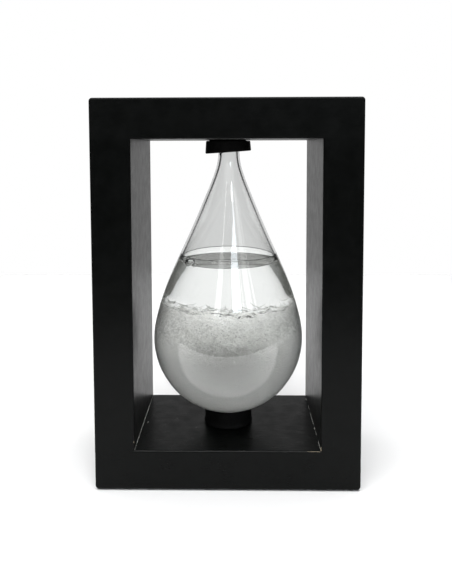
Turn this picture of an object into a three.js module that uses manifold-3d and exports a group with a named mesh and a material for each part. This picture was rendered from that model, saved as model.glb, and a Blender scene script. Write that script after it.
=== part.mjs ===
// Storm glass: a blown-glass teardrop of camphor solution, held between a soft cap and a seat
// inside a doweled wooden frame. Millimetres, +Z up. The origin is the centre of the footprint,
// on the surface that the felt feet stand on. +X is to the right and -Y is the front.

import * as THREE from 'three';
import { mergeVertices } from 'three/addons/utils/BufferGeometryUtils.js';
import Module from 'manifold-3d';

const wasm = await Module();
wasm.setup();

// Frame of four boards.
const FRAME_WIDTH = 120;
const FRAME_HEIGHT = 176;
const FRAME_DEPTH = 64;
const BOARD = 18;
const CORNER_RADIUS = 1.5;
const EDGE_RADIUS = 0.75;

// Felt feet, set in from the frame's outer faces.
const FOOT_RADIUS = 5;
const FOOT_HEIGHT = 0.75;
const FOOT_INSET = 11;

// Dowels across the four butt joints.
const DOWEL_RADIUS = 3;
const DOWEL_LENGTH = 24;
const DOWEL_IN_RAIL = 10;
const DOWEL_SPACING = 32;
const DOWEL_CHAMFER = 0.6;

// Clearance between pieces that fit into or against each other.
const GAP = 0.3;

// Glass drop: a sphere that runs through a cone-like shoulder into a straight neck.
// The levels are measured up from the top face of the bottom board.
const BULB_RADIUS = 36.5;
const BULB_LIFT = 7;
const SHOULDER_ANGLE = THREE.MathUtils.degToRad(11.5);
const THROAT_RADIUS = 12.45;
const THROAT_LEVEL = 110;
const THROAT_SLOPE = 0.41;
const NECK_RADIUS = 5.1;
const NECK_LEVEL = 134;
const NECK_TOP = 137.8;
// How far each curve's control points stand from its ends.
const SHOULDER_HANDLES = [21, 32.7];
const FLARE_HANDLES = [12, 7];
const GLASS_WALL = 1.4;
const LIQUID_LEVEL = 81.9;
const CRYSTAL_LEVEL = 61;

// Soft cap under the top board. Its lower face is cut at a slant.
const CAP_TOP_RADIUS = 10.55;
const CAP_BOTTOM_RADIUS = 11;
const CAP_HEIGHT = 5.3;
const CAP_SLANT = THREE.MathUtils.degToRad(3.9);

// Stopper in the open end of the neck.
const STOPPER_LENGTH = 6;
const STOPPER_CHAMFER = 0.5;

// Dished seat on the bottom board, slightly waisted.
const SEAT_RADIUS = 12;
const SEAT_WAIST = 11.6;
const SEAT_RIM = 0.4;
const SEAT_POCKET_RADIUS = 6;
const SEAT_POCKET_DEPTH = 1.2;

// Adhesive over the cap, under the seat, in the seat's pocket and around the neck.
const PAD_THICKNESS = 0.5;
const PAD_MARGIN = 1.6;
const COLLAR_WIDTH = 1.3;
const COLLAR_HEIGHT = 2;

// Facets around the turned pieces, and up the drop's outline.
const DROP_STEPS = 44;
const ROUND_STEPS = 32;
const DOWEL_STEPS = 16;
const BULB_STEPS = 14;
const SHOULDER_STEPS = 10;
const FLARE_STEPS = 5;

const HANDS = { left: -1, right: 1 };
const ENDS = { front: -1, back: 1 };

const BASE = FOOT_HEIGHT;
const FLOOR = BASE + BOARD;
const CEILING = BASE + FRAME_HEIGHT - BOARD;
const BULB_CENTRE = FLOOR + BULB_LIFT + BULB_RADIUS;

const paint = new THREE.MeshStandardMaterial({ color: 0x151715, roughness: 0.45, metalness: 0 });
const bareWood = new THREE.MeshStandardMaterial({ color: 0xc9a877, roughness: 0.8, metalness: 0 });
const glass = new THREE.MeshStandardMaterial({
  color: 0xeef3f2,
  roughness: 0.03,
  metalness: 0,
  transparent: true,
  opacity: 0.35,
});
const liquid = new THREE.MeshStandardMaterial({
  color: 0xe6eae8,
  roughness: 0.05,
  metalness: 0,
  transparent: true,
  opacity: 0.5,
});
const crystal = new THREE.MeshStandardMaterial({ color: 0xd5d9d6, roughness: 0.7, metalness: 0 });
const softBlack = new THREE.MeshStandardMaterial({ color: 0x0d0d0d, roughness: 0.75, metalness: 0 });
const silicone = new THREE.MeshStandardMaterial({ color: 0xd8d8d2, roughness: 0.4, metalness: 0 });
const adhesive = new THREE.MeshStandardMaterial({ color: 0x1a1a1a, roughness: 0.5, metalness: 0 });
const felt = new THREE.MeshStandardMaterial({ color: 0x1c1c1c, roughness: 0.95, metalness: 0 });

const group = new THREE.Group();

function addMesh(name, geometry, material) {
  const mesh = new THREE.Mesh(geometry, material);
  mesh.name = name;
  group.add(mesh);
}

// Booleans.

function toSolid(geometry) {
  const bare = geometry.clone();
  bare.deleteAttribute('normal');
  bare.deleteAttribute('uv');
  const merged = mergeVertices(bare, 1e-4);
  return new wasm.Manifold(
    new wasm.Mesh({
      numProp: 3,
      vertProperties: new Float32Array(merged.attributes.position.array),
      triVerts: new Uint32Array(merged.index.array),
    }),
  );
}

function toGeometry(solid) {
  const mesh = solid.getMesh();
  const geometry = new THREE.BufferGeometry();
  geometry.setAttribute('position', new THREE.BufferAttribute(mesh.vertProperties, 3));
  geometry.setIndex(new THREE.BufferAttribute(mesh.triVerts, 1));
  geometry.computeVertexNormals();
  return geometry;
}

function boxSolid(low, high) {
  const size = high.map((value, axis) => value - low[axis]);
  const box = new THREE.BoxGeometry(...size);
  box.translate(...low.map((value, axis) => value + size[axis] / 2));
  return toSolid(box);
}

// A solid of revolution about +Z. Each profile point is [radius, height].
function turned(profile, steps = ROUND_STEPS) {
  const lathe = new THREE.LatheGeometry(
    profile.map(([radius, height]) => new THREE.Vector2(radius, height)),
    steps,
  );
  lathe.rotateX(Math.PI / 2);
  return lathe;
}

function disc(radius, low, high, steps = ROUND_STEPS) {
  const profile = [
    [0, low],
    [radius, low],
    [radius, high],
    [0, high],
  ];
  return turned(profile, steps);
}

// Wooden frame: one eased ring, sawn into four boards at the butt joints.

function frameRing() {
  const halfWidth = FRAME_WIDTH / 2;
  const top = BASE + FRAME_HEIGHT;
  const outline = new THREE.Shape();
  outline.moveTo(-halfWidth + CORNER_RADIUS, BASE);
  outline.lineTo(halfWidth - CORNER_RADIUS, BASE);
  outline.absarc(halfWidth - CORNER_RADIUS, BASE + CORNER_RADIUS, CORNER_RADIUS, -Math.PI / 2, 0);
  outline.lineTo(halfWidth, top - CORNER_RADIUS);
  outline.absarc(halfWidth - CORNER_RADIUS, top - CORNER_RADIUS, CORNER_RADIUS, 0, Math.PI / 2);
  outline.lineTo(-halfWidth + CORNER_RADIUS, top);
  outline.absarc(-halfWidth + CORNER_RADIUS, top - CORNER_RADIUS, CORNER_RADIUS, Math.PI / 2, Math.PI);
  outline.lineTo(-halfWidth, BASE + CORNER_RADIUS);
  outline.absarc(-halfWidth + CORNER_RADIUS, BASE + CORNER_RADIUS, CORNER_RADIUS, Math.PI, Math.PI * 1.5);

  const opening = new THREE.Path();
  opening.moveTo(-halfWidth + BOARD, FLOOR);
  opening.lineTo(-halfWidth + BOARD, CEILING);
  opening.lineTo(halfWidth - BOARD, CEILING);
  opening.lineTo(halfWidth - BOARD, FLOOR);
  opening.closePath();
  outline.holes.push(opening);

  const ring = new THREE.ExtrudeGeometry(outline, {
    depth: FRAME_DEPTH - 2 * EDGE_RADIUS,
    curveSegments: 4,
    bevelEnabled: true,
    bevelThickness: EDGE_RADIUS,
    bevelSize: EDGE_RADIUS,
    bevelOffset: -EDGE_RADIUS,
    bevelSegments: 3,
  });
  ring.rotateX(Math.PI / 2);
  ring.translate(0, FRAME_DEPTH / 2 - EDGE_RADIUS, 0);
  return toSolid(ring);
}

// The two dowels of each joint: the middle of the joint, and the height of the dowel's lower end.
const dowelLows = { bottom: FLOOR - DOWEL_IN_RAIL, top: CEILING + DOWEL_IN_RAIL - DOWEL_LENGTH };
const dowels = [];
for (const [level, low] of Object.entries(dowelLows)) {
  for (const [hand, side] of Object.entries(HANDS)) {
    for (const [end, depth] of Object.entries(ENDS)) {
      dowels.push({
        name: `dowel_${level}_${hand}_${end}`,
        x: (side * (FRAME_WIDTH - BOARD)) / 2,
        y: (depth * DOWEL_SPACING) / 2,
        low,
      });
    }
  }
}

function dowelHole(dowel) {
  const radius = DOWEL_RADIUS + GAP;
  const low = dowel.low - GAP;
  const high = dowel.low + DOWEL_LENGTH + GAP;
  const hole = disc(radius, low, high, DOWEL_STEPS);
  hole.translate(dowel.x, dowel.y, 0);
  return toSolid(hole);
}

function dowelPin(dowel) {
  const high = dowel.low + DOWEL_LENGTH;
  const pin = turned(
    [
      [0, dowel.low],
      [DOWEL_RADIUS - DOWEL_CHAMFER, dowel.low],
      [DOWEL_RADIUS, dowel.low + DOWEL_CHAMFER],
      [DOWEL_RADIUS, high - DOWEL_CHAMFER],
      [DOWEL_RADIUS - DOWEL_CHAMFER, high],
      [0, high],
    ],
    DOWEL_STEPS,
  );
  pin.translate(dowel.x, dowel.y, 0);
  return pin;
}

const ring = frameRing();
const holes = dowels.map(dowelHole);
const far = 2 * FRAME_HEIGHT;
const stileFace = FRAME_WIDTH / 2 - BOARD;
const boardBlocks = {
  bottom_board: boxSolid([-far, -far, -far], [far, far, FLOOR]),
  top_board: boxSolid([-far, -far, CEILING], [far, far, CEILING + far]),
  left_board: boxSolid([-far, -far, FLOOR], [-stileFace, far, CEILING]),
  right_board: boxSolid([stileFace, -far, FLOOR], [far, far, CEILING]),
};
for (const [name, block] of Object.entries(boardBlocks)) {
  let board = ring.intersect(block);
  for (const hole of holes) {
    board = board.subtract(hole);
  }
  addMesh(name, toGeometry(board), paint);
}
for (const dowel of dowels) {
  addMesh(dowel.name, dowelPin(dowel), bareWood);
}

// Felt feet.

for (const [hand, side] of Object.entries(HANDS)) {
  for (const [end, depth] of Object.entries(ENDS)) {
    const foot = disc(FOOT_RADIUS, 0, FOOT_HEIGHT);
    foot.translate(
      side * (FRAME_WIDTH / 2 - FOOT_INSET),
      depth * (FRAME_DEPTH / 2 - FOOT_INSET),
      0,
    );
    addMesh(`felt_foot_${hand}_${end}`, foot, felt);
  }
}

// Glass drop. The outline leaves the bulb at its tangent, narrows to the throat and then the neck.

function dropOutline() {
  const centre = new THREE.Vector2(0, BULB_CENTRE);
  const bulb = [new THREE.Vector2(0, BULB_CENTRE - BULB_RADIUS)];
  for (let step = 1; step <= BULB_STEPS; step += 1) {
    const angle = THREE.MathUtils.lerp(-Math.PI / 2, SHOULDER_ANGLE, step / BULB_STEPS);
    const spoke = new THREE.Vector2(Math.cos(angle), Math.sin(angle));
    bulb.push(centre.clone().addScaledVector(spoke, BULB_RADIUS));
  }
  const shoulder = bulb.at(-1);
  const throat = new THREE.Vector2(THROAT_RADIUS, FLOOR + THROAT_LEVEL);
  const neck = new THREE.Vector2(NECK_RADIUS, FLOOR + NECK_LEVEL);
  const neckEnd = new THREE.Vector2(NECK_RADIUS, FLOOR + NECK_TOP);
  const alongBulb = new THREE.Vector2(-Math.sin(SHOULDER_ANGLE), Math.cos(SHOULDER_ANGLE));
  const alongThroat = new THREE.Vector2(-THROAT_SLOPE, 1).normalize();
  const alongNeck = new THREE.Vector2(0, 1);
  const shoulderCurve = new THREE.CubicBezierCurve(
    shoulder,
    shoulder.clone().addScaledVector(alongBulb, SHOULDER_HANDLES[0]),
    throat.clone().addScaledVector(alongThroat, -SHOULDER_HANDLES[1]),
    throat,
  );
  const flareCurve = new THREE.CubicBezierCurve(
    throat,
    throat.clone().addScaledVector(alongThroat, FLARE_HANDLES[0]),
    neck.clone().addScaledVector(alongNeck, -FLARE_HANDLES[1]),
    neck,
  );
  const path = [
    ...bulb,
    ...shoulderCurve.getPoints(SHOULDER_STEPS).slice(1),
    ...flareCurve.getPoints(FLARE_STEPS).slice(1),
    neckEnd,
  ];
  return path.map((point) => [point.x, point.y]);
}

// The outline moved inwards, square to itself, by a distance.
function inset(outline, distance) {
  return outline.map(([radius, height], index) => {
    const before = outline[Math.max(index - 1, 0)];
    const after = outline[Math.min(index + 1, outline.length - 1)];
    const along = new THREE.Vector2(after[0] - before[0], after[1] - before[1]).normalize();
    if (index === 0) {
      return [0, height + distance];
    }
    if (index === outline.length - 1) {
      return [radius - distance, height];
    }
    return [Math.max(radius - along.y * distance, 0), height + along.x * distance];
  });
}

// The part of an outline between two heights, closed onto the axis.
function fillProfile(outline, low, high) {
  const radiusAt = (level) => {
    const above = outline.findIndex(([, height]) => height > level);
    const [lowRadius, lowHeight] = outline[above - 1];
    const [highRadius, highHeight] = outline[above];
    return THREE.MathUtils.mapLinear(level, lowHeight, highHeight, lowRadius, highRadius);
  };
  const inside = outline.filter(([radius, height]) => radius > 0 && height > low && height < high);
  const bottom = low > outline[0][1] ? [[0, low], [radiusAt(low), low]] : [outline[0]];
  return [...bottom, ...inside, [radiusAt(high), high], [0, high]];
}

const outer = dropOutline();
const inner = inset(outer, GLASS_WALL);
addMesh('glass_drop', turned([...outer, ...inner.toReversed()], DROP_STEPS), glass);

const contents = inset(outer, GLASS_WALL + GAP);
const crystalTop = FLOOR + CRYSTAL_LEVEL;
const liquidTop = FLOOR + LIQUID_LEVEL;
addMesh('camphor_crystals', turned(fillProfile(contents, 0, crystalTop), DROP_STEPS), crystal);
addMesh('storm_solution', turned(fillProfile(contents, crystalTop + GAP, liquidTop), DROP_STEPS), liquid);

// Stopper pushed into the open end of the neck.

const neckEnd = FLOOR + NECK_TOP;
const stopperEnd = neckEnd - STOPPER_LENGTH;
const stopperRadius = NECK_RADIUS - GLASS_WALL - GAP;
addMesh(
  'neck_stopper',
  turned([
    [0, stopperEnd],
    [stopperRadius - STOPPER_CHAMFER, stopperEnd],
    [stopperRadius, stopperEnd + STOPPER_CHAMFER],
    [stopperRadius, neckEnd + GAP],
    [0, neckEnd + GAP],
  ]),
  silicone,
);

// Soft cap: a short block, bored from below for the neck, with a slanted lower face and a
// shallow counterbore for the collar of adhesive around the neck.

const capTop = CEILING - PAD_THICKNESS;
const capBottom = capTop - CAP_HEIGHT;
const capBlankBottom = capBottom - 2;
const capBore = [NECK_RADIUS + GAP, neckEnd + 2 * GAP];
const capCounterbore = [NECK_RADIUS + COLLAR_WIDTH, capBottom + COLLAR_HEIGHT];
const wellBelow = capBlankBottom - 1;

// Everything under a plane through the cap's axis at a level, slanted as the cap's lower face is.
function slantedBlock(level) {
  const reach = 4 * CAP_BOTTOM_RADIUS;
  const block = new THREE.BoxGeometry(reach, reach, reach);
  block.translate(0, 0, -reach / 2);
  block.rotateY(-CAP_SLANT);
  block.translate(0, 0, level);
  return toSolid(block);
}

const underCap = slantedBlock(capBottom);
let cap = toSolid(
  turned([
    [0, capBlankBottom],
    [CAP_BOTTOM_RADIUS, capBlankBottom],
    [CAP_BOTTOM_RADIUS, capBottom],
    [CAP_TOP_RADIUS, capTop],
    [0, capTop],
  ]),
);
cap = cap.subtract(underCap);
for (const [radius, top] of [capBore, capCounterbore]) {
  cap = cap.subtract(toSolid(disc(radius, wellBelow, top)));
}
addMesh('neck_cap', toGeometry(cap), softBlack);

const collarInner = NECK_RADIUS + GAP;
const collarOuter = NECK_RADIUS + COLLAR_WIDTH - GAP;
const collarTop = capBottom + COLLAR_HEIGHT - GAP;
const collar = toSolid(
  turned([
    [collarInner, wellBelow],
    [collarOuter, wellBelow],
    [collarOuter, collarTop],
    [collarInner, collarTop],
    [collarInner, wellBelow],
  ]),
);
addMesh('neck_adhesive_collar', toGeometry(collar.subtract(underCap)), adhesive);
addMesh('cap_adhesive_pad', disc(CAP_TOP_RADIUS - PAD_MARGIN, capTop, CEILING), adhesive);

// Seat: a waisted block with a dish for the bulb and a pocket for the adhesive.

const seatBottom = FLOOR + PAD_THICKNESS;
const dishHeight = (radius) => BULB_CENTRE - Math.sqrt((BULB_RADIUS + GAP) ** 2 - radius ** 2);
const pocketFloor = dishHeight(0) - SEAT_POCKET_DEPTH;

function dishProfile(fromRadius, toRadius, steps) {
  const points = [];
  for (let step = 0; step <= steps; step += 1) {
    const radius = THREE.MathUtils.lerp(fromRadius, toRadius, step / steps);
    points.push([radius, dishHeight(radius)]);
  }
  return points;
}

const rimInner = SEAT_RADIUS - SEAT_RIM;
const rimTop = dishHeight(rimInner);
addMesh(
  'bulb_seat',
  turned([
    [0, seatBottom],
    [SEAT_RADIUS - SEAT_RIM, seatBottom],
    [SEAT_RADIUS, seatBottom + SEAT_RIM],
    [SEAT_WAIST, (seatBottom + rimTop) / 2],
    [SEAT_RADIUS, rimTop - SEAT_RIM],
    ...dishProfile(rimInner, SEAT_POCKET_RADIUS, 6),
    [SEAT_POCKET_RADIUS, pocketFloor],
    [0, pocketFloor],
  ]),
  softBlack,
);
addMesh(
  'bulb_adhesive_dot',
  turned([
    [0, pocketFloor],
    [SEAT_POCKET_RADIUS - GAP, pocketFloor],
    ...dishProfile(SEAT_POCKET_RADIUS - GAP, 0, 4),
  ]),
  adhesive,
);
addMesh('seat_adhesive_pad', disc(SEAT_RADIUS - PAD_MARGIN, FLOOR, seatBottom), adhesive);

export default group;
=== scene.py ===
"""Storm glass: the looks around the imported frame. Metres, +Z up, -Y towards the viewer."""

import math
import random

import bmesh
import bpy
from mathutils import Matrix, Vector, noise


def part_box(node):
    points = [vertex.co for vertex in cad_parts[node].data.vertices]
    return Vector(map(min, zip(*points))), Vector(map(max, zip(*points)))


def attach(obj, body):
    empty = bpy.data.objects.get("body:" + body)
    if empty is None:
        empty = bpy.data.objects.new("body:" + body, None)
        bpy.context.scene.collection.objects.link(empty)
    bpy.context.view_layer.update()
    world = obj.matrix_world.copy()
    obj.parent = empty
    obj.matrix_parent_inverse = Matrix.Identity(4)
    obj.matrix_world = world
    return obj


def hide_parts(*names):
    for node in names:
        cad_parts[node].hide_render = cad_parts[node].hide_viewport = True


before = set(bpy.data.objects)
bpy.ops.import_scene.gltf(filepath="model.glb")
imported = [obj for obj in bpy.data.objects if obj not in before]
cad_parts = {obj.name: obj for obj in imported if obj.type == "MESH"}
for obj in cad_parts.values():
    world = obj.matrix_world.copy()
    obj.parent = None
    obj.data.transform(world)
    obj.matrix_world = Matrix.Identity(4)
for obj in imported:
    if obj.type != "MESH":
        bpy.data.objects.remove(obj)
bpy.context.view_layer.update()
scene = bpy.context.scene
MM = 0.001

# ---------------------------------------------------------------- driving sizes

BODY = "root"
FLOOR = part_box("bottom_board")[1].z
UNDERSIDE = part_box("bottom_board")[0].z
STILE_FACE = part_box("right_board")[0].x
HALF_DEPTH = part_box("bottom_board")[1].y

BULB_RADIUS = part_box("glass_drop")[1].x
BULB_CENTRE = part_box("glass_drop")[0].z + BULB_RADIUS
NECK_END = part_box("glass_drop")[1].z
SHOULDER_ANGLE = math.radians(11.5)
THROAT = Vector((12.45 * MM, FLOOR + 110 * MM))
THROAT_SLOPE = 0.41
NECK = Vector((5.1 * MM, FLOOR + 134 * MM))
SHOULDER_HANDLES = (21 * MM, 32.7 * MM)
FLARE_HANDLES = (12 * MM, 7 * MM)
GLASS_WALL = 1.4 * MM
LIQUID_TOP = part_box("storm_solution")[1].z
CRYSTAL_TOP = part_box("camphor_crystals")[1].z

# ---------------------------------------------------------------- camera

CAMERA_PLACE = Vector((0.00416, -0.30127, 0.15392 + UNDERSIDE))
CAMERA_YAW = math.radians(-0.95)
CAMERA_PITCH = math.radians(4.05)
CAMERA_ROLL = math.radians(-0.18)
CAMERA_LENS = 38.13
CAMERA_SHIFT = -0.1712


def make_camera():
    data = bpy.data.cameras.new("camera")
    data.sensor_width = 36
    data.lens = CAMERA_LENS
    data.shift_y = CAMERA_SHIFT
    data.clip_start = 0.01
    camera = bpy.data.objects.new("camera", data)
    scene.collection.objects.link(camera)
    turn = Matrix.Rotation(-CAMERA_YAW, 4, "Z") @ Matrix.Rotation(math.pi / 2 - CAMERA_PITCH, 4, "X")
    turn = turn @ Matrix.Rotation(CAMERA_ROLL, 4, "Z")
    camera.matrix_world = Matrix.Translation(CAMERA_PLACE) @ turn
    scene.camera = camera


make_camera()

# ---------------------------------------------------------------- mesh helpers


def link_mesh(name, bm, smooth=True):
    bmesh.ops.recalc_face_normals(bm, faces=bm.faces)
    mesh = bpy.data.meshes.new(name)
    bm.to_mesh(mesh)
    bm.free()
    for polygon in mesh.polygons:
        polygon.use_smooth = smooth
    obj = bpy.data.objects.new(name, mesh)
    scene.collection.objects.link(obj)
    return obj


def lathe_into(bm, profile, steps, shape=None):
    """Turns a profile of (radius, height) points about Z. Points on the axis become single vertices."""
    rings = []
    for radius, height in profile:
        if radius < 1e-7:
            rings.append([bm.verts.new((0, 0, height))])
            continue
        ring = []
        for step in range(steps):
            angle = 2 * math.pi * step / steps
            ring.append(bm.verts.new((radius * math.cos(angle), radius * math.sin(angle), height)))
        rings.append(ring)
    for low, high in zip(rings, rings[1:]):
        for step in range(steps):
            following = (step + 1) % steps
            if len(low) == 1:
                bm.faces.new((low[0], high[following], high[step]))
            elif len(high) == 1:
                bm.faces.new((low[step], low[following], high[0]))
            else:
                bm.faces.new((low[step], low[following], high[following], high[step]))
    if shape:
        for vert in bm.verts:
            vert.co = shape(vert.co)
    return rings


def join_rings(bm, low, high):
    count = len(low)
    for step in range(count):
        following = (step + 1) % count
        bm.faces.new((low[step], low[following], high[following], high[step]))


def turned(name, profile, steps=128, shape=None):
    bm = bmesh.new()
    lathe_into(bm, profile, steps, shape)
    return link_mesh(name, bm)


def bezier(a, b, c, d, steps):
    points = []
    for step in range(1, steps + 1):
        t = step / steps
        s = 1 - t
        points.append(a * s**3 + b * (3 * s * s * t) + c * (3 * s * t * t) + d * t**3)
    return points


def arc(centre, radius, start, end, steps):
    points = []
    for step in range(steps + 1):
        angle = start + (end - start) * step / steps
        points.append(Vector((centre[0] + radius * math.cos(angle), centre[1] + radius * math.sin(angle))))
    return points


def drop_outline():
    """The drop's outer outline from the bottom of the bulb to the neck's end."""
    points = arc((0, BULB_CENTRE), BULB_RADIUS, -math.pi / 2, SHOULDER_ANGLE, 64)
    points[0].x = 0
    shoulder = points[-1]
    along_bulb = Vector((-math.sin(SHOULDER_ANGLE), math.cos(SHOULDER_ANGLE)))
    along_throat = Vector((-THROAT_SLOPE, 1)).normalized()
    points += bezier(
        shoulder,
        shoulder + along_bulb * SHOULDER_HANDLES[0],
        THROAT - along_throat * SHOULDER_HANDLES[1],
        THROAT,
        48,
    )
    points += bezier(
        THROAT,
        THROAT + along_throat * FLARE_HANDLES[0],
        NECK - Vector((0, FLARE_HANDLES[1])),
        NECK,
        24,
    )
    points.append(Vector((NECK.x, NECK_END)))
    return points


def inset(outline, distance):
    """The outline moved inwards, square to itself."""
    moved = []
    for index, point in enumerate(outline):
        before = outline[max(index - 1, 0)]
        after = outline[min(index + 1, len(outline) - 1)]
        along = (after - before).normalized()
        if index == 0:
            moved.append(Vector((0, point.y + distance)))
        elif index == len(outline) - 1:
            moved.append(Vector((point.x - distance, point.y)))
        else:
            moved.append(Vector((max(point.x - along.y * distance, 0), point.y + along.x * distance)))
    return moved


def radius_at(outline, height):
    for low, high in zip(outline, outline[1:]):
        if low.y <= height <= high.y:
            t = (height - low.y) / max(high.y - low.y, 1e-9)
            return low.x + (high.x - low.x) * t
    return outline[-1].x


# ---------------------------------------------------------------- node helpers


class Nodes:
    """A short way to write a material's node tree."""

    def __init__(self, name):
        self.material = bpy.data.materials.new(name)
        self.material.use_nodes = True
        self.tree = self.material.node_tree
        self.tree.nodes.clear()
        self.output = self.tree.nodes.new("ShaderNodeOutputMaterial")

    def add(self, kind, settings=None, **inputs):
        node = self.tree.nodes.new(kind)
        for key, value in (settings or {}).items():
            setattr(node, key, value)
        for key, value in inputs.items():
            self.feed(node.inputs[key.replace("_", " ")], value)
        return node

    def feed(self, socket, value):
        if isinstance(value, bpy.types.NodeSocket):
            self.tree.links.new(value, socket)
        else:
            socket.default_value = value

    def place(self, scale=(1, 1, 1)):
        """Object coordinates, stretched."""
        coordinates = self.add("ShaderNodeTexCoord")
        mapping = self.add("ShaderNodeMapping", Scale=scale)
        self.feed(mapping.inputs["Vector"], coordinates.outputs["Object"])
        return mapping.outputs[0]

    def noise(self, vector, scale, detail=4.0, roughness=0.55, distortion=0.0):
        node = self.add("ShaderNodeTexNoise", Scale=scale, Detail=detail, Roughness=roughness)
        self.feed(node.inputs["Distortion"], distortion)
        self.feed(node.inputs["Vector"], vector)
        return node.outputs["Fac"]

    def ramp(self, value, stops):
        """A colour ramp. A stop's colour may be one number for a grey."""
        node = self.add("ShaderNodeValToRGB")
        elements = node.color_ramp.elements
        while len(elements) < len(stops):
            elements.new(0.5)
        for element, (position, colour) in zip(elements, stops):
            element.position = position
            element.color = colour if hasattr(colour, "__len__") else (colour, colour, colour, 1)
        self.feed(node.inputs["Fac"], value)
        return node.outputs["Color"]

    def math(self, operation, a, b=0.0, clamp=False):
        node = self.add("ShaderNodeMath", {"operation": operation, "use_clamp": clamp})
        self.feed(node.inputs[0], a)
        self.feed(node.inputs[1], b)
        return node.outputs[0]

    def range(self, value, low, high, to_low, to_high):
        node = self.add("ShaderNodeMapRange")
        for index, entry in enumerate((value, low, high, to_low, to_high)):
            self.feed(node.inputs[index], entry)
        return node.outputs[0]

    def mix(self, fac, a, b, blend="MIX"):
        node = self.add("ShaderNodeMix", {"data_type": "RGBA", "blend_type": blend})
        self.feed(node.inputs[0], fac)
        self.feed(node.inputs[6], a)
        self.feed(node.inputs[7], b)
        return node.outputs[2]

    def bump(self, height, strength, distance):
        node = self.add("ShaderNodeBump", Strength=strength, Distance=distance)
        self.feed(node.inputs["Height"], height)
        return node.outputs[0]

    def finish(self, shader):
        self.tree.links.new(shader, self.output.inputs["Surface"])
        return self.material


def let_light_in(nodes, shader):
    """Lets lamps and diffuse light straight through a clear shader, so that what is inside is lit."""
    path = nodes.add("ShaderNodeLightPath")
    passing = nodes.math("MAXIMUM", path.outputs["Is Shadow Ray"], path.outputs["Is Diffuse Ray"])
    clear = nodes.add("ShaderNodeBsdfTransparent")
    mixed = nodes.add("ShaderNodeMixShader")
    nodes.feed(mixed.inputs[0], passing)
    nodes.feed(mixed.inputs[1], shader)
    nodes.feed(mixed.inputs[2], clear.outputs[0])
    return mixed.outputs[0]


# ---------------------------------------------------------------- materials

GLASS_IOR = 1.5
LIQUID_IOR = 1.37
BUBBLE_IOR = 0.75
PAINT_IOR = 1.2  # below a real paint's, to keep its reflections as low as the photograph's
CRYSTAL_SHADED = 18 * MM  # how far below its top the mass goes on getting darker
CRYSTAL_WOBBLE = 7 * MM
# Where the painted shade on the crystals' upward-facing bed starts and ends.
BED_LOW = 4 * MM
BED_HIGH = 2.5 * MM
BED_INNER = 22 * MM
BED_OUTER = 26 * MM


def painted_wood(name, along, smooth, rough):
    """Satin black paint over close wood grain that runs along one axis."""
    nodes = Nodes(name)
    across = [1.0, 1.0, 1.0]
    across["XYZ".index(along)] = 0.06
    grain_place = nodes.place(tuple(across))
    even_place = nodes.place()
    fibres = nodes.noise(grain_place, 2600, 5, 0.6, 0.2)
    pores = nodes.noise(grain_place, 900, 3, 0.5)
    orange_peel = nodes.noise(even_place, 700, 2, 0.5)
    cloud = nodes.noise(even_place, 170, 5, 0.65)
    colour = nodes.ramp(cloud, [(0.3, (0.0017, 0.0020, 0.0018, 1)), (0.7, (0.0031, 0.0035, 0.0033, 1))])
    speck = nodes.ramp(fibres, [(0.62, (0, 0, 0, 1)), (0.8, (1, 1, 1, 1))])
    colour = nodes.mix(nodes.math("MULTIPLY", speck, 0.35), colour, (0.012, 0.013, 0.012, 1))
    roughness = nodes.range(nodes.math("ADD", fibres, cloud), 0.8, 1.2, smooth, rough)
    height = nodes.math("ADD", nodes.math("MULTIPLY", fibres, 0.6), nodes.math("MULTIPLY", pores, 0.5))
    height = nodes.math("ADD", height, nodes.math("MULTIPLY", orange_peel, 0.35))
    shader = nodes.add("ShaderNodeBsdfPrincipled")
    nodes.feed(shader.inputs["Base Color"], colour)
    nodes.feed(shader.inputs["Roughness"], roughness)
    nodes.feed(shader.inputs["Normal"], nodes.bump(height, 0.5, 0.00006))
    shader.inputs["IOR"].default_value = PAINT_IOR
    return nodes.finish(shader.outputs[0])


def clear_glass():
    nodes = Nodes("clear_glass")
    striae = nodes.noise(nodes.place((1, 1, 0.12)), 120, 3, 0.5, 0.3)
    waves = nodes.noise(nodes.place(), 40, 2, 0.5)
    height = nodes.math("ADD", nodes.math("MULTIPLY", striae, 0.4), waves)
    shader = nodes.add("ShaderNodeBsdfPrincipled")
    shader.inputs["Base Color"].default_value = (0.985, 0.992, 0.988, 1)
    shader.inputs["Roughness"].default_value = 0.0
    shader.inputs["IOR"].default_value = GLASS_IOR
    shader.inputs["Transmission Weight"].default_value = 1.0
    nodes.feed(shader.inputs["Normal"], nodes.bump(height, 0.25, 0.00012))
    return nodes.finish(let_light_in(nodes, shader.outputs[0]))


def clear_liquid():
    nodes = Nodes("clear_liquid")
    ripple = nodes.noise(nodes.place(), 60, 2, 0.5)
    shader = nodes.add("ShaderNodeBsdfPrincipled")
    shader.inputs["Base Color"].default_value = (0.99, 0.995, 0.99, 1)
    shader.inputs["Roughness"].default_value = 0.0
    shader.inputs["IOR"].default_value = LIQUID_IOR
    shader.inputs["Transmission Weight"].default_value = 1.0
    nodes.feed(shader.inputs["Normal"], nodes.bump(ripple, 0.1, 0.0001))
    return nodes.finish(let_light_in(nodes, shader.outputs[0]))


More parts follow.
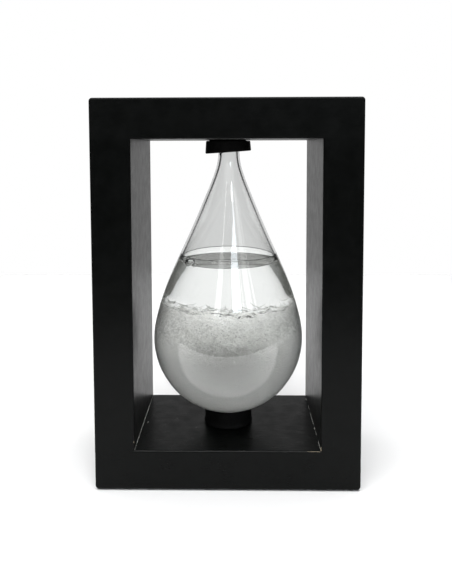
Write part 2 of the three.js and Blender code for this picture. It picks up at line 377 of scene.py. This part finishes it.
def crystal_mass():
    """Feathery crystals: fibrous near the top and closer below, with painted shade that makes them pale at
    the top and greyer below.
    """
    nodes = Nodes("crystal_mass")
    place = nodes.place()
    split = nodes.add("ShaderNodeSeparateXYZ")
    nodes.feed(split.inputs[0], place)

    def strands(stretch, scale, distortion, sharpness):
        field = nodes.noise(nodes.place(stretch), scale, 3, 0.5, distortion)
        fold = nodes.math("ABSOLUTE", nodes.math("SUBTRACT", field, 0.5))
        ridge = nodes.math("SUBTRACT", 1.0, nodes.math("MULTIPLY", fold, 10.0), True)
        return nodes.math("POWER", ridge, sharpness)

    coarse = strands((1, 1, 1.6), 380, 1.2, 1.4)
    fine = strands((1, 1, 1.2), 820, 1.6, 1.2)
    tufts = nodes.noise(place, 240, 5, 0.6, 0.8)
    grain = nodes.noise(place, 1500, 3, 0.6)
    wobble = nodes.math("MULTIPLY", nodes.math("SUBTRACT", tufts, 0.5), CRYSTAL_WOBBLE)
    level = nodes.math("ADD", split.outputs["Z"], wobble)
    depth = nodes.range(level, CRYSTAL_TOP - CRYSTAL_SHADED, CRYSTAL_TOP, 0, 1)
    # Painted shade: the mass is painted pale near its top and greyer further down, by height.
    shade = nodes.ramp(
        depth,
        [
            (0.0, (0.205, 0.207, 0.193, 1)),
            (0.2, (0.28, 0.282, 0.267, 1)),
            (0.4, (0.46, 0.464, 0.443, 1)),
            (0.7, (0.64, 0.644, 0.62, 1)),
            (1.0, (1, 1, 0.985, 1)),
        ],
    )
    # Painted light: paler towards the sides and the underside, standing in for the light that the real,
    # translucent mass scatters.
    facing = nodes.add("ShaderNodeSeparateXYZ")
    nodes.feed(facing.inputs[0], nodes.add("ShaderNodeTexCoord").outputs["Normal"])
    sideways = nodes.math("POWER", nodes.math("ABSOLUTE", facing.outputs["X"]), 2.2)
    downwards = nodes.math("MAXIMUM", nodes.math("MULTIPLY", facing.outputs["Z"], -1.0), 0.0)
    downwards = nodes.math("POWER", downwards, 1.8)
    colour = nodes.mix(nodes.math("ADD", sideways, downwards), shade, (1, 1, 0.97, 1))
    web = nodes.math("MAXIMUM", coarse, fine)
    fibrous = nodes.range(depth, 0.0, 0.5, 0.07, 0.75)
    gaps = nodes.mix(fibrous, (1, 1, 1, 1), nodes.ramp(web, [(0.0, 0.5), (0.7, 1.3)]))
    colour = nodes.mix(1.0, colour, gaps, "MULTIPLY")
    colour = nodes.mix(1.0, colour, nodes.ramp(grain, [(0.3, 0.9), (0.7, 1.0)]), "MULTIPLY")
    # Painted shade: the upward-facing bed, below the rim and near the axis, is painted a darker grey.
    bed = nodes.range(facing.outputs["Z"], 0.5, 0.8, 0, 1)
    under_rim = nodes.range(split.outputs["Z"], CRYSTAL_TOP - BED_LOW, CRYSTAL_TOP - BED_HIGH, 1, 0)
    from_axis = nodes.add("ShaderNodeVectorMath", {"operation": "LENGTH"})
    nodes.feed(from_axis.inputs[0], nodes.place((1, 1, 0)))
    inside = nodes.range(from_axis.outputs["Value"], BED_INNER, BED_OUTER, 1, 0)
    bed = nodes.math("MULTIPLY", nodes.math("MULTIPLY", bed, under_rim), inside)
    colour = nodes.mix(bed, colour, nodes.mix(web, (0.38, 0.39, 0.38, 1), (0.67, 0.68, 0.67, 1)))
    bumps = nodes.math("ADD", web, nodes.math("MULTIPLY", tufts, 0.8))
    bumps = nodes.math("ADD", bumps, nodes.math("MULTIPLY", grain, 0.4))
    shader = nodes.add("ShaderNodeBsdfPrincipled")
    nodes.feed(shader.inputs["Base Color"], colour)
    shader.inputs["Roughness"].default_value = 0.6
    shader.inputs["Subsurface Weight"].default_value = 0.3
    shader.inputs["Subsurface Radius"].default_value = (1, 1, 1)
    shader.inputs["Subsurface Scale"].default_value = 0.012
    nodes.feed(shader.inputs["Normal"], nodes.bump(bumps, 0.6, 0.0005))
    return nodes.finish(shader.outputs[0])


def frond_white():
    nodes = Nodes("frond_white")
    cloud = nodes.noise(nodes.place(), 500, 3, 0.6)
    shader = nodes.add("ShaderNodeBsdfPrincipled")
    split = nodes.add("ShaderNodeSeparateXYZ")
    nodes.feed(split.inputs[0], nodes.place())
    # Painted shade: the fronds are painted greyer further below the crystals' top.
    depth = nodes.range(split.outputs["Z"], CRYSTAL_TOP - CRYSTAL_SHADED, CRYSTAL_TOP, 0, 1)
    colour = nodes.ramp(
        depth,
        [
            (0.0, (0.44, 0.443, 0.42, 1)),
            (0.6, (0.66, 0.663, 0.64, 1)),
            (1.0, (0.98, 0.98, 0.96, 1)),
        ],
    )
    tint = nodes.ramp(cloud, [(0.3, (0.88, 0.88, 0.87, 1)), (0.7, (1.0, 1.0, 0.99, 1))])
    colour = nodes.mix(1.0, colour, tint, "MULTIPLY")
    nodes.feed(shader.inputs["Base Color"], colour)
    shader.inputs["Roughness"].default_value = 0.5
    return nodes.finish(shader.outputs[0])


def bubble_film():
    nodes = Nodes("bubble_film")
    swirl = nodes.noise(nodes.place(), 900, 2, 0.5)
    shader = nodes.add("ShaderNodeBsdfPrincipled")
    shader.inputs["Base Color"].default_value = (0.98, 0.985, 0.98, 1)
    shader.inputs["Roughness"].default_value = 0.0
    shader.inputs["IOR"].default_value = BUBBLE_IOR
    shader.inputs["Transmission Weight"].default_value = 1.0
    nodes.feed(shader.inputs["Normal"], nodes.bump(swirl, 0.1, 0.00005))
    return nodes.finish(let_light_in(nodes, shader.outputs[0]))


def dull_rubber(name, value):
    nodes = Nodes(name)
    place = nodes.place()
    cells = nodes.noise(place, 1800, 3, 0.6)
    cloud = nodes.noise(place, 140, 3, 0.5)
    colour = nodes.ramp(cloud, [(0.3, value * 0.7), (0.7, value * 1.3)])
    shader = nodes.add("ShaderNodeBsdfPrincipled")
    nodes.feed(shader.inputs["Base Color"], colour)
    nodes.feed(shader.inputs["Roughness"], nodes.range(cells, 0.3, 0.7, 0.62, 0.85))
    nodes.feed(shader.inputs["Normal"], nodes.bump(cells, 0.5, 0.0001))
    shader.inputs["Specular IOR Level"].default_value = 0.12
    return nodes.finish(shader.outputs[0])


def bare_wood():
    nodes = Nodes("bare_wood")
    grain = nodes.noise(nodes.place((1, 1, 0.08)), 900, 5, 0.6, 0.4)
    colour = nodes.ramp(grain, [(0.3, (0.40, 0.32, 0.21, 1)), (0.7, (0.58, 0.49, 0.36, 1))])
    shader = nodes.add("ShaderNodeBsdfPrincipled")
    nodes.feed(shader.inputs["Base Color"], colour)
    nodes.feed(shader.inputs["Roughness"], nodes.range(grain, 0.3, 0.7, 0.6, 0.8))
    nodes.feed(shader.inputs["Normal"], nodes.bump(grain, 0.3, 0.0001))
    return nodes.finish(shader.outputs[0])


def pale_silicone():
    nodes = Nodes("pale_silicone")
    cloud = nodes.noise(nodes.place(), 400, 3, 0.5)
    shader = nodes.add("ShaderNodeBsdfPrincipled")
    colour = nodes.ramp(cloud, [(0.3, (0.6, 0.6, 0.56, 1)), (0.7, (0.72, 0.72, 0.68, 1))])
    nodes.feed(shader.inputs["Base Color"], colour)
    nodes.feed(shader.inputs["Roughness"], nodes.range(cloud, 0.3, 0.7, 0.35, 0.5))
    return nodes.finish(shader.outputs[0])


def pressed_felt():
    nodes = Nodes("pressed_felt")
    fibres = nodes.noise(nodes.place(), 2400, 5, 0.7, 1.5)
    shader = nodes.add("ShaderNodeBsdfPrincipled")
    nodes.feed(shader.inputs["Base Color"], nodes.ramp(fibres, [(0.3, 0.006), (0.7, 0.022)]))
    shader.inputs["Roughness"].default_value = 0.95
    shader.inputs["Sheen Weight"].default_value = 0.3
    nodes.feed(shader.inputs["Normal"], nodes.bump(fibres, 0.8, 0.0002))
    return nodes.finish(shader.outputs[0])


def dress(obj, material):
    obj.data.materials.clear()
    obj.data.materials.append(material)


def piece(obj, material, slot, *nodes):
    """Finishes a piece: its material, its body and the CAD nodes it stands for, which it hides. The slot
    is not used.
    """
    dress(obj, material)
    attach(obj, BODY)
    if nodes:
        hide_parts(*nodes)


# ---------------------------------------------------------------- the drop

LEAN = 0.7 * MM
LEAN_FROM = BULB_CENTRE
CAP_SHIFT = 0.35 * MM
OVERLAP = 0.15 * MM
CRYSTAL_GAP = 0.25 * MM
SURFACE_LEVEL = LIQUID_TOP - 1.2 * MM
MENISCUS_HEIGHT = 3.7 * MM
MENISCUS_REACH = 2 * MM
MENISCUS_STEPS = 24
WETTED = 0.02 * MM
DROP_STEPS = 160


def lean(co):
    """The drop stands a touch out of true: its neck is a little to the right of its bulb."""
    share = max(0.0, (co.z - LEAN_FROM) / (NECK_END - LEAN_FROM))
    return co + Vector((LEAN * share, 0, 0))


outline = drop_outline()


def make_glass():
    inner = inset(outline, GLASS_WALL)
    profile = [tuple(point) for point in outline] + [tuple(point) for point in reversed(inner)]
    glass = turned("blown_drop", profile, DROP_STEPS, lean)
    piece(glass, clear_glass(), "drop_glass", "glass_drop")


def make_solution():
    """The clear liquid. It wets the glass, and its surface curves up the wall all round."""
    wet = inset(outline, GLASS_WALL - OVERLAP)
    wall = inset(outline, GLASS_WALL - WETTED)
    points = [point for point in wet if point.y < SURFACE_LEVEL + MENISCUS_HEIGHT]
    for step in range(MENISCUS_STEPS + 1):
        share = 1 - step / MENISCUS_STEPS
        height = SURFACE_LEVEL + MENISCUS_HEIGHT * share**2
        points.append(Vector((radius_at(wall, height) - MENISCUS_REACH * (1 - share) ** 2, height)))
    points.append(Vector((points[-1].x * 0.5, SURFACE_LEVEL)))
    points.append(Vector((0, SURFACE_LEVEL)))
    liquid = turned("solution", [tuple(point) for point in points], DROP_STEPS, lean)
    piece(liquid, clear_liquid(), "clear_solution", "storm_solution")


CRYSTAL_SINK = 17 * MM
CRYSTAL_RIM = 2.2 * MM
CRYSTAL_LIP = 1.2 * MM
CRYSTAL_SLOPE = 0.29
CRYSTAL_SUNK = 1.3 * MM  # the mass ends this far below the tips of the fronds
RIM_RAGGED = 1.3 * MM
RIM_SAMPLED_AT = 30 * MM
BED_RAGGED = 0.7 * MM
BED_DROP = 3 * MM
BED_CLEARANCE = 0.3 * MM
CRYSTAL_STEPS = 240
WALL_ROWS = 40
BED_ROWS = 36
CRYSTAL_FROM = CRYSTAL_TOP - 24 * MM


def ragged(x, y, size):
    flat = Vector((x, y, 0))
    return size * (noise.fractal(flat * 70, 1.0, 2.0, 5) + 0.5 * noise.fractal(flat * 420, 0.8, 2.2, 3))


def make_crystals():
    """The settled crystals cling to the front of the glass and lie lower towards the back."""
    room = inset(outline, GLASS_WALL + CRYSTAL_GAP)
    steps = CRYSTAL_STEPS
    bm = bmesh.new()
    lower = [tuple(point) for point in room if point.y < CRYSTAL_FROM]
    rings = lathe_into(bm, lower, steps)
    last = rings[-1]
    rims = []
    for step in range(steps):
        angle = 2 * math.pi * step / steps
        x = math.cos(angle) * RIM_SAMPLED_AT
        y = math.sin(angle) * RIM_SAMPLED_AT
        rims.append(rim_height(angle) - CRYSTAL_SUNK + ragged(x, y, RIM_RAGGED))
    for row in range(1, WALL_ROWS + 1):
        ring = []
        for step in range(steps):
            angle = 2 * math.pi * step / steps
            height = CRYSTAL_FROM + (rims[step] - CRYSTAL_FROM) * row / WALL_ROWS
            radius = crystal_reach(room, height)
            ring.append(bm.verts.new((radius * math.cos(angle), radius * math.sin(angle), height)))
        join_rings(bm, last, ring)
        last = ring
    reaches = [crystal_reach(room, rim) for rim in rims]
    middle_reach = sum(reaches) / steps
    for row in range(1, BED_ROWS):
        share = row / BED_ROWS
        ring = []
        for step in range(steps):
            angle = 2 * math.pi * step / steps
            reach = reaches[step]
            radius = (reach - BED_CLEARANCE) * (1 - share) ** 1.2
            outward = radius / reach
            x = radius * math.cos(angle)
            y = radius * math.sin(angle)
            # All directions have to agree on the height where they meet on the axis.
            plane_reach = middle_reach + (reach - middle_reach) * outward
            plane = CRYSTAL_TOP - BED_DROP - CRYSTAL_SLOPE * (y + plane_reach)
            bed = plane + (min(plane, rims[step]) - plane) * outward
            inward = min(1.0, (reach - radius) / CRYSTAL_RIM)
            height = rims[step] + (bed - rims[step]) * inward
            ring.append(bm.verts.new((x, y, height + ragged(x, y, BED_RAGGED) * inward)))
        join_rings(bm, last, ring)
        last = ring
    middle = bm.verts.new((0, 0, sum(vert.co.z for vert in last) / steps))
    for step in range(steps):
        bm.faces.new((last[step], last[(step + 1) % steps], middle))
    for vert in bm.verts:
        vert.co = lean(vert.co)
    crystals = link_mesh("crystals", bm)
    piece(crystals, crystal_mass(), "crystal_mass", "camphor_crystals")


FROND_COUNT = 3200
FROND_DEPTH = 0.9 * MM
FROND_TIP = 0.9 * MM
FROND_ROWS = 5
FROND_THICKNESS = 0.08 * MM
FROND_SINK = 7.5
REACH_FROM = 20 * MM
REACH_OVER = 10 * MM


def crystal_reach(room, height):
    """The crystals' own radius: just inside the glass, and a little further in where the fronds lie."""
    share = min(1.0, max(0.0, (height - CRYSTAL_TOP + REACH_FROM) / REACH_OVER))
    return radius_at(room, height) - FROND_DEPTH * share


def rim_height(angle):
    """How high the crystals reach up the glass, at an angle counted from +X towards the back."""
    return CRYSTAL_TOP + CRYSTAL_LIP - CRYSTAL_SINK * max(0.0, math.sin(angle)) ** 1.4


def make_fronds():
    """Feathery needles that lie against the glass around the crystals' upper edge."""
    rng = random.Random(7)
    room = inset(outline, GLASS_WALL + CRYSTAL_GAP)
    bm = bmesh.new()
    for _ in range(FROND_COUNT):
        angle = rng.uniform(0, 2 * math.pi)
        sink = abs(rng.gauss(0, FROND_SINK)) * MM
        height = rim_height(angle) + FROND_TIP - sink
        length = rng.uniform(1.2, 4.5) * MM
        width = rng.uniform(0.12, 0.32) * MM
        spread = 0.18 + 0.9 * min(1.0, sink / (9 * MM))
        heading = rng.gauss(0, spread) + (math.pi if rng.random() < 0.5 else 0)
        bend = rng.uniform(-0.7, 0.7)
        depth = rng.uniform(0.0, 1.0) * FROND_DEPTH
        left = []
        right = []
        for row in range(FROND_ROWS + 1):
            t = row / FROND_ROWS
            turn = heading + bend * t
            across = length * t * math.cos(turn)
            rise = length * t * math.sin(turn)
            z = height + rise
            reach = radius_at(room, z) - depth
            half = width * 0.5 * math.sin(math.pi * (0.12 + 0.8 * t))
            for side, column in ((1, left), (-1, right)):
                shift = half * side
                around = angle + (across - shift * math.sin(turn)) / reach
                level = z + shift * math.cos(turn)
                column.append((math.cos(around) * reach, math.sin(around) * reach, level))
        outer_left = [bm.verts.new(co) for co in left]
        outer_right = [bm.verts.new(co) for co in right]
        spine = []
        for a, b in zip(left, right):
            middle = (Vector(a) + Vector(b)) / 2
            flat = Vector((middle.x, middle.y, 0)).normalized()
            spine.append(bm.verts.new(middle - flat * FROND_THICKNESS))
        for row in range(FROND_ROWS):
            bm.faces.new((outer_left[row], outer_left[row + 1], outer_right[row + 1], outer_right[row]))
            bm.faces.new((outer_right[row], outer_right[row + 1], spine[row + 1], spine[row]))
            bm.faces.new((spine[row], spine[row + 1], outer_left[row + 1], outer_left[row]))
        for row in (0, FROND_ROWS):
            bm.faces.new((outer_left[row], outer_right[row], spine[row]))
    for vert in bm.verts:
        vert.co = lean(vert.co)
    piece(link_mesh("crystal_fronds", bm, False), frond_white(), "crystal_mass")


def make_bubble(name, place, radius):
    """A small bubble caught where the liquid's surface meets the glass."""
    bm = bmesh.new()
    bmesh.ops.create_icosphere(bm, subdivisions=4, radius=radius)
    for vert in bm.verts:
        vert.co.z *= 0.82 if vert.co.z > 0 else 0.95
        vert.co = vert.co + Vector(place)
    bubble = link_mesh(name, bm)
    piece(bubble, bubble_film(), "clear_solution")


make_glass()
make_solution()
make_crystals()
make_fronds()
SURFACE_EDGE = radius_at(outline, LIQUID_TOP) - GLASS_WALL


def on_surface(angle, inward, height=0.0):
    """A place on the liquid's surface, that far in from the glass, at an angle from the front."""
    turn = math.radians(angle)
    reach = SURFACE_EDGE - inward
    return Vector((math.sin(turn) * reach, -math.cos(turn) * reach, LIQUID_TOP + height))


make_bubble("bubble_large", on_surface(-54, 2.1 * MM, 0.1 * MM), 2.2 * MM)
make_bubble("bubble_middle", on_surface(-42, 1.4 * MM, -0.6 * MM), 1.1 * MM)
make_bubble("bubble_small", on_surface(-72, 1.6 * MM, 0.6 * MM), 1.4 * MM)

# ---------------------------------------------------------------- cap, seat and adhesive

rubber = dull_rubber("soft_black", 0.0048)
glue = dull_rubber("black_adhesive", 0.008)
CAP_BOTTOM = 152.75 * MM
CAP_BORE = 5.55 * MM
CAP_SLANT = math.radians(3.9)
CAP_MOST_DROP = 0.75 * MM
CAP_GROWTH = 1.012
STOPPER_BOTTOM = 154.4 * MM
SEAT_SHRINK = 0.994
SEAT_POCKET = 6 * MM
SEAT_POCKET_DEPTH = 1.2 * MM
SEAT_CLEARANCE = 0.3 * MM
TURNED_STEPS = 128


def soft_edge(centre, radius, start, end):
    return [tuple(point) for point in arc(centre, radius, math.radians(start), math.radians(end), 5)]


def make_cap():
    """A short rubber cap. Its lower face hangs lower on the left."""
    low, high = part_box("neck_cap")
    reach = (high.x - low.x) / 2
    middle = (high.x + low.x) / 2
    slant = math.tan(CAP_SLANT)
    bottom = CAP_BOTTOM
    bore = CAP_BORE
    edge = 0.5 * MM
    top_reach = reach - 0.4 * MM
    profile = [(0, high.z - 1.1 * MM), (bore - 0.4 * MM, high.z - 1.1 * MM), (bore, high.z - 1.5 * MM)]
    profile += [(bore, bottom + 0.6 * MM), (bore + 0.5 * MM, bottom)]
    profile += soft_edge((reach - edge, bottom + edge), edge, -90, 0)
    profile += soft_edge((top_reach - edge, high.z - edge), edge, 0, 90)
    profile += [(0, high.z)]

    def shape(co):
        share = (high.z - co.z) / (high.z - bottom)
        angle = math.atan2(co.y, co.x)
        swell = 1 + 0.012 * noise.noise(Vector((math.cos(angle), math.sin(angle), co.z * 300)) * 1.5)
        drop = max(-CAP_MOST_DROP, min(CAP_MOST_DROP, slant * co.x))
        x = co.x * swell * CAP_GROWTH + middle + CAP_SHIFT
        return Vector((x, co.y * swell * CAP_GROWTH, co.z + drop * share))

    piece(turned("cap", profile, TURNED_STEPS, shape), rubber, "soft_black", "neck_cap")


def make_stopper():
    """The plug that closes the neck, up inside the cap."""
    low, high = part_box("neck_stopper")
    radius = (high.x - low.x) / 2
    bottom = STOPPER_BOTTOM
    edge = 0.4 * MM
    profile = [(0, bottom)] + soft_edge((radius - edge, bottom + edge), edge, -90, 0)
    profile += soft_edge((radius - edge, high.z - edge), edge, 0, 90) + [(0, high.z)]
    piece(turned("stopper", profile, 64, lean), pale_silicone(), "pale_silicone", "neck_stopper")


def make_drip():
    """A drip of adhesive that set as it ran out from under the cap."""
    start = Vector((-2.9 * MM, -4.8 * MM, 153.5 * MM))
    bm = bmesh.new()
    rows = ((0.9, 0.0), (0.75, 0.35), (0.5, 0.8), (0.42, 1.4), (0.36, 1.9), (0.2, 2.2))
    profile = [(0, 0)] + [(width * MM, -depth * MM) for width, depth in rows] + [(0, -2.35 * MM)]
    lathe_into(bm, profile, 24)
    for vert in bm.verts:
        vert.co = Vector((vert.co.x + vert.co.z * 0.28, vert.co.y, vert.co.z)) + start
    piece(link_mesh("cap_drip", bm), glue, "black_adhesive")


def make_seat():
    """The waisted rubber seat, dished to the bulb."""
    low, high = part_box("bulb_seat")
    reach = (high.x - low.x) / 2
    waist = reach - 0.4 * MM
    dish = BULB_RADIUS + SEAT_CLEARANCE
    rim = reach - 0.8 * MM
    edge = 0.5 * MM
    pocket = SEAT_POCKET

    def dish_height(radius):
        return BULB_CENTRE - math.sqrt(dish**2 - radius**2)

    profile = [(0, low.z), (reach - edge, low.z)]
    profile += soft_edge((reach - edge, low.z + edge), edge, -90, 60)
    profile += [(waist, low.z + (high.z - low.z) * share) for share in (0.35, 0.65)]
    profile += soft_edge((rim + 0.3 * MM, high.z - edge), edge, -20, 90)
    for step in range(7):
        radius = rim - (rim - pocket) * step / 6
        profile.append((radius, min(dish_height(radius), high.z - 0.05 * MM)))
    pocket_floor = dish_height(pocket) - SEAT_POCKET_DEPTH
    profile += [(pocket - 0.3 * MM, pocket_floor), (0, pocket_floor)]

    def shape(co):
        angle = math.atan2(co.y, co.x)
        swell = 1 + 0.006 * noise.noise(Vector((math.cos(angle), math.sin(angle), co.z * 200)) * 2)
        return Vector((co.x * swell * SEAT_SHRINK, co.y * swell * SEAT_SHRINK, co.z))

    piece(turned("seat", profile, TURNED_STEPS, shape), rubber, "soft_black", "bulb_seat")


make_cap()
make_stopper()
make_drip()
make_seat()

# ---------------------------------------------------------------- squeezed-out glue and chipped paint


def lumpy_thread(bm, rng, start, end, radius):
    """An uneven closed thread between two places."""
    start = Vector(start) * MM
    end = Vector(end) * MM
    along = (end - start).normalized()
    side = along.orthogonal().normalized()
    upward = along.cross(side)
    rows = max(3, round((end - start).length / (0.5 * MM)))
    sides = 7
    rings = []
    for row in range(rows + 1):
        share = row / rows
        taper = 0.45 + 0.55 * math.sin(math.pi * min(1.0, max(0.0, share)))
        girth = radius * MM * taper * rng.uniform(0.6, 1.4)
        centre = start.lerp(end, share) + side * rng.uniform(-0.05, 0.05) * MM
        ring = []
        for step in range(sides):
            angle = 2 * math.pi * step / sides
            ring.append(bm.verts.new(centre + (side * math.cos(angle) + upward * math.sin(angle)) * girth))
        rings.append(ring)
    for low, high in zip(rings, rings[1:]):
        join_rings(bm, low, high)
    bm.faces.new(reversed(rings[0]))
    bm.faces.new(rings[-1])


def make_joint_glue():
    """Glue squeezed out of the lower inner joints: a fine line on the left, beads on the right."""
    rng = random.Random(11)
    bm = bmesh.new()
    left = -STILE_FACE / MM
    right = STILE_FACE / MM
    low = FLOOR / MM
    lumpy_thread(bm, rng, (left, -31.3, low), (left, 31.2, low), 0.11)
    beads = (
        (-31.2, -22, 0.11),
        (-16.5, -11, 0.08),
        (-10, -7.8, 0.22),
        (-4.5, 9.5, 0.12),
        (12, 18, 0.08),
        (24.5, 27, 0.18),
    )
    for front, back, radius in beads:
        lumpy_thread(bm, rng, (right, front, low), (right, back, low), radius)
    lumpy_thread(bm, rng, (left + 1.8, -2.9, low + 0.1), (left + 2.2, -2.6, low + 0.1), 0.22)
    piece(link_mesh("joint_glue", bm, False), pale_silicone(), "pale_silicone")


def make_chips():
    """Places at the lower corners where the paint is knocked off and the bare wood shows."""
    rng = random.Random(12)
    bm = bmesh.new()
    edge = STILE_FACE / MM
    front = -HALF_DEPTH / MM
    low = FLOOR / MM
    lumpy_thread(bm, rng, (edge - 6, front + 0.25, low - 0.2), (edge - 0.2, front + 0.2, low - 0.2), 0.06)
    lumpy_thread(bm, rng, (edge, front + 0.3, low + 0.1), (edge, front + 0.35, low + 2), 0.11)
    chip_end = (-edge + 0.1, front + 0.15, low + 3.95)
    lumpy_thread(bm, rng, (-edge - 0.9, front + 0.1, low + 4), chip_end, 0.11)
    piece(link_mesh("paint_chips", bm, False), wood, "dowel_wood")


wood = bare_wood()
make_joint_glue()
make_chips()

# ---------------------------------------------------------------- carried-over CAD nodes

sill_paint = painted_wood("sill_paint", "X", 0.27, 0.45)
rail_paint = painted_wood("rail_paint", "X", 0.32, 0.41)
stile_paint = painted_wood("stile_paint", "Z", 0.28, 0.36)
felt = pressed_felt()
for name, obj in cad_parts.items():
    if name == "bottom_board":
        dress(obj, sill_paint)
    elif name == "top_board":
        dress(obj, rail_paint)
    elif name in ("left_board", "right_board"):
        dress(obj, stile_paint)
    elif name.startswith("dowel_"):
        dress(obj, wood)
    elif name.startswith("felt_foot_"):
        dress(obj, felt)
    elif "adhesive" in name:
        dress(obj, glue)

# ---------------------------------------------------------------- studio

SHEET_FRONT = -0.27
SHEET_BACK = 0.45
SHEET_SIDE = 0.7
SHEET_WHITE = 0.77
BACKDROP_GLOW = 0.72
ROOM_GLOW = 0.055
BACKDROP_FROM = 0.75
BACKDROP_FULL = 0.93
WINDOW_TINT = (0.88, 0.94, 1.0)


def make_floor():
    bm = bmesh.new()
    corners = [
        bm.verts.new((x, y, 0))
        for x, y in (
            (-SHEET_SIDE, SHEET_FRONT),
            (SHEET_SIDE, SHEET_FRONT),
            (SHEET_SIDE, SHEET_BACK),
            (-SHEET_SIDE, SHEET_BACK),
        )
    ]
    bm.faces.new(corners)
    floor = link_mesh("studio_floor", bm, False)
    nodes = Nodes("studio_floor")
    shader = nodes.add("ShaderNodeBsdfDiffuse")
    shader.inputs["Color"].default_value = (SHEET_WHITE, SHEET_WHITE, SHEET_WHITE, 1)
    dress(floor, nodes.finish(shader.outputs[0]))


def make_light(name, place, target, size, power, colour=(1, 1, 1)):
    data = bpy.data.lights.new(name, "AREA")
    data.shape = "RECTANGLE"
    data.size, data.size_y = size
    data.energy = power
    data.color = colour
    light = bpy.data.objects.new(name, data)
    scene.collection.objects.link(light)
    light.location = place
    light.rotation_euler = (Vector(target) - Vector(place)).to_track_quat("-Z", "Y").to_euler()


def make_world():
    """White to the camera. To all other rays, bright behind the object and dim in front of it."""
    world = bpy.data.worlds.new("studio")
    scene.world = world
    world.use_nodes = True
    tree = world.node_tree
    tree.nodes.clear()
    output = tree.nodes.new("ShaderNodeOutputWorld")
    coordinates = tree.nodes.new("ShaderNodeTexCoord")
    split = tree.nodes.new("ShaderNodeSeparateXYZ")
    tree.links.new(coordinates.outputs["Generated"], split.inputs[0])
    spread = tree.nodes.new("ShaderNodeMapRange")
    spread.interpolation_type = "SMOOTHSTEP"
    tree.links.new(split.outputs["Y"], spread.inputs[0])
    spread.inputs[1].default_value = BACKDROP_FROM
    spread.inputs[2].default_value = BACKDROP_FULL
    spread.inputs[3].default_value = ROOM_GLOW
    spread.inputs[4].default_value = BACKDROP_GLOW
    path = tree.nodes.new("ShaderNodeLightPath")
    seen = tree.nodes.new("ShaderNodeMath")
    seen.operation = "MAXIMUM"
    tree.links.new(spread.outputs[0], seen.inputs[0])
    tree.links.new(path.outputs["Is Camera Ray"], seen.inputs[1])
    background = tree.nodes.new("ShaderNodeBackground")
    background.inputs["Color"].default_value = (1, 1, 1, 1)
    tree.links.new(seen.outputs[0], background.inputs["Strength"])
    tree.links.new(background.outputs[0], output.inputs[0])


MIDDLE = Vector((0, 0, 0.09))
STRIP_DISTANCE = 1.3


def make_strip(name, azimuth, width, low, high, glow, colour=(1, 1, 1)):
    """A tall soft strip of light, placed by its angles from the drop: right of the front, and up."""
    side = math.radians(azimuth)
    rise = math.radians((low + high) / 2)
    flat = math.cos(rise) * STRIP_DISTANCE
    up = math.sin(rise) * STRIP_DISTANCE
    place = MIDDLE + Vector((math.sin(side) * flat, -math.cos(side) * flat, up))
    wide = 2 * STRIP_DISTANCE * math.cos(rise) * math.tan(math.radians(width / 2))
    tall = 2 * STRIP_DISTANCE * math.tan(math.radians((high - low) / 2))
    make_light(name, place, MIDDLE, (wide, tall), glow * math.pi * wide * tall, colour)


make_floor()
make_world()
make_light("overhead", (0, 0.02, 1.25), MIDDLE, (1.5, 1.2), 22)
make_light("fill", (-0.15, -0.7, 1.14), MIDDLE, (1.2, 0.5), 12)
make_strip("window_low", 16, 16, 20, 39.7, 6, WINDOW_TINT)
make_strip("window_high", 22, 8, 39.7, 44.7, 6, WINDOW_TINT)
make_strip("left_slit", -17, 2, 39, 52, 5)
make_strip("left_soft", -18, 11, 18, 39, 1.6)
make_strip("right_slit", 28, 2, 18, 52, 1.2)
make_strip("right_soft", 39, 12, 18, 52, 1.6)
make_strip("right_far", 50, 2.5, 18, 52, 2)

scene.view_settings.view_transform = "Standard"
scene.view_settings.look = "None"
